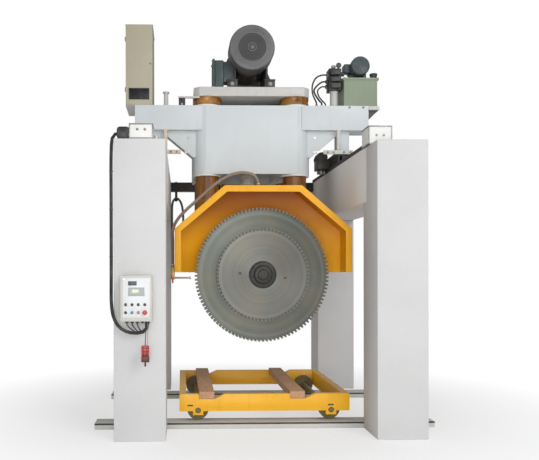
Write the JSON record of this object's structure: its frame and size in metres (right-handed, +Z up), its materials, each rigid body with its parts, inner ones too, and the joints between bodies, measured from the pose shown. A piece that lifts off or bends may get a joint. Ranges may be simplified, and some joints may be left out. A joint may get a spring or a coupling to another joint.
{
  "type": "masonry saw",
  "caption": "Stone block saw on a concrete gantry: a travelling bridge lowers a motor-driven spindle of stepped toothed blades over a cart on floor tracks.",
  "frame": {"origin": "middle of the saw's footprint, on the floor", "axes": "+X to the right of someone facing the blades, +Y to the back along the bridge's travel, +Z up"},
  "size_m": [3.9, 3.8546, 5.14],
  "materials": {
    "black_plastic": "satin black",
    "black_rubber": "matte",
    "blade_steel": "ground, water-stained",
    "brass": "dull",
    "bridge_paint": "satin blue-grey enamel",
    "cabinet_paint": "satin beige-grey enamel",
    "chrome": "hard chrome",
    "concrete": "cast concrete, fine speckle",
    "dark_paint": "satin black enamel",
    "greased_steel": "ground steel with amber grease",
    "green_paint": "satin sage green enamel",
    "green_plastic": "glossy green",
    "hose_rubber": "matte grey-brown",
    "motor_paint": "dark painted casting",
    "pale_paint": "satin off-white enamel",
    "red_plastic": "glossy red",
    "steel": "machined",
    "timber": "rough sawn",
    "yellow_paint": "satin yellow enamel"
  },
  "bodies": {
    "root": {"pillar_front_left": "concrete", "pillar_front_right": "concrete", "pillar_rear_left": "concrete", "pillar_rear_right": "concrete", "side_beam_left": "concrete", "side_beam_right": "concrete", "rear_tie_beam": "dark_paint", "rail_left": "steel", "rail_right": "steel", "travel_rack": "dark_paint", "track_front": "concrete", "track_rear": "concrete", "control_box": "cabinet_paint", "junction_box": "black_plastic", "control_cable": "black_rubber", "pendant": "red_plastic", "pendant_cord": "black_rubber"},
    "control_lid": {"control_lid": "cabinet_paint"},
    "start_button": {"start_button": "green_plastic"},
    "emergency_stop": {"emergency_stop": "red_plastic"},
    "bridge": {"bridge_housing": "bridge_paint", "bridge_arm_left": "bridge_paint", "bridge_arm_right": "bridge_paint", "end_truck_left": "bridge_paint", "end_truck_right": "bridge_paint", "travel_gearmotor": "dark_paint", "lift_barrel": "pale_paint", "oil_tank": "green_paint", "pump_motor": "motor_paint", "valve_block": "black_plastic", "oil_hose": "black_rubber", "cabinet": "cabinet_paint"},
    "cabinet_door": {"cabinet_door": "cabinet_paint"},
    "travel_pinion": {"travel_pinion": "steel"},
    "head": {"platform": "pale_paint", "column_front_left": "greased_steel", "column_front_right": "greased_steel", "column_rear_left": "greased_steel", "column_rear_right": "greased_steel", "spindle_carriage": "bridge_paint", "lift_rod": "chrome", "main_motor": "motor_paint", "blade_guard": "yellow_paint", "belt_guard": "yellow_paint", "drive_belts": "black_rubber", "water_hose": "hose_rubber", "water_valve": "brass"},
    "valve_lever": {"valve_lever": "red_plastic"},
    "spindle": {"spindle_shaft": "steel", "large_blade_rear": "blade_steel", "large_blade_front": "blade_steel", "small_blade": "blade_steel", "clamp_flange": "motor_paint", "driven_pulley": "motor_paint"},
    "motor_rotor": {"motor_pulley": "motor_paint"},
    "cart": {"cart_frame": "yellow_paint", "timber_left": "timber", "timber_right": "timber"},
    "wheelset_left": {"wheelset_left": "motor_paint"},
    "wheelset_right": {"wheelset_right": "motor_paint"}
  },
  "joints": [
    {"name": "bridge_travel", "type": "slide", "parent": "root", "child": "bridge", "axis": [0, 1, 0], "range_m": [-1.3, 0]},
    {"name": "pinion_spin", "type": "hinge", "parent": "bridge", "child": "travel_pinion", "pos_m": [1.065, 0.8573, 3.225], "axis": [0, 0, 1], "range_deg": [-5, 1245]},
    {"name": "head_lift", "type": "slide", "parent": "bridge", "child": "head", "axis": [0, 0, 1], "range_m": [0, 0.9]},
    {"name": "spindle_spin", "type": "hinge", "parent": "head", "child": "spindle", "pos_m": [0, 0.1073, 1.757], "axis": [0, 1, 0], "continuous": true},
    {"name": "motor_spin", "type": "hinge", "parent": "head", "child": "motor_rotor", "pos_m": [0, 1.5123, 4.83], "axis": [0, 1, 0], "continuous": true},
    {"name": "water_valve_turn", "type": "hinge", "parent": "head", "child": "valve_lever", "pos_m": [-1.0653, -0.7477, 1.736], "axis": [0, -1, 0], "range_deg": [0, 90]},
    {"name": "cart_travel", "type": "slide", "parent": "root", "child": "cart", "axis": [1, 0, 0], "range_m": [-1.05, 1.05]},
    {"name": "wheel_spin_left", "type": "hinge", "parent": "cart", "child": "wheelset_left", "pos_m": [-0.77, 0.1073, 0.1953], "axis": [0, 1, 0], "range_deg": [-483, 483]},
    {"name": "wheel_spin_right", "type": "hinge", "parent": "cart", "child": "wheelset_right", "pos_m": [0.77, 0.1073, 0.1953], "axis": [0, 1, 0], "range_deg": [-483, 483]},
    {"name": "cabinet_door_hinge", "type": "hinge", "parent": "bridge", "child": "cabinet_door", "pos_m": [-1.708, 0.2373, 4.6], "axis": [0, 0, -1], "range_deg": [0, 110]},
    {"name": "control_lid_hinge", "type": "hinge", "parent": "root", "child": "control_lid", "pos_m": [-1.586, -1.8933, 1.517], "axis": [0, 0, -1], "range_deg": [0, 110]},
    {"name": "start_press", "type": "slide", "parent": "control_lid", "child": "start_button", "axis": [0, 1, 0], "range_m": [0, 0.004], "stiffness_N_per_m": 400},
    {"name": "emergency_stop_press", "type": "slide", "parent": "control_lid", "child": "emergency_stop", "axis": [0, 1, 0], "range_m": [0, 0.004], "stiffness_N_per_m": 600}
  ],
  "couplings": [
    {"joint": "pinion_spin", "follows": "bridge_travel", "rad_per_m": -16.667},
    {"joint": "motor_spin", "follows": "spindle_spin", "ratio": 2.5714},
    {"joint": "wheel_spin_left", "follows": "cart_travel", "rad_per_m": 8},
    {"joint": "wheel_spin_right", "follows": "cart_travel", "rad_per_m": 8}
  ]
}
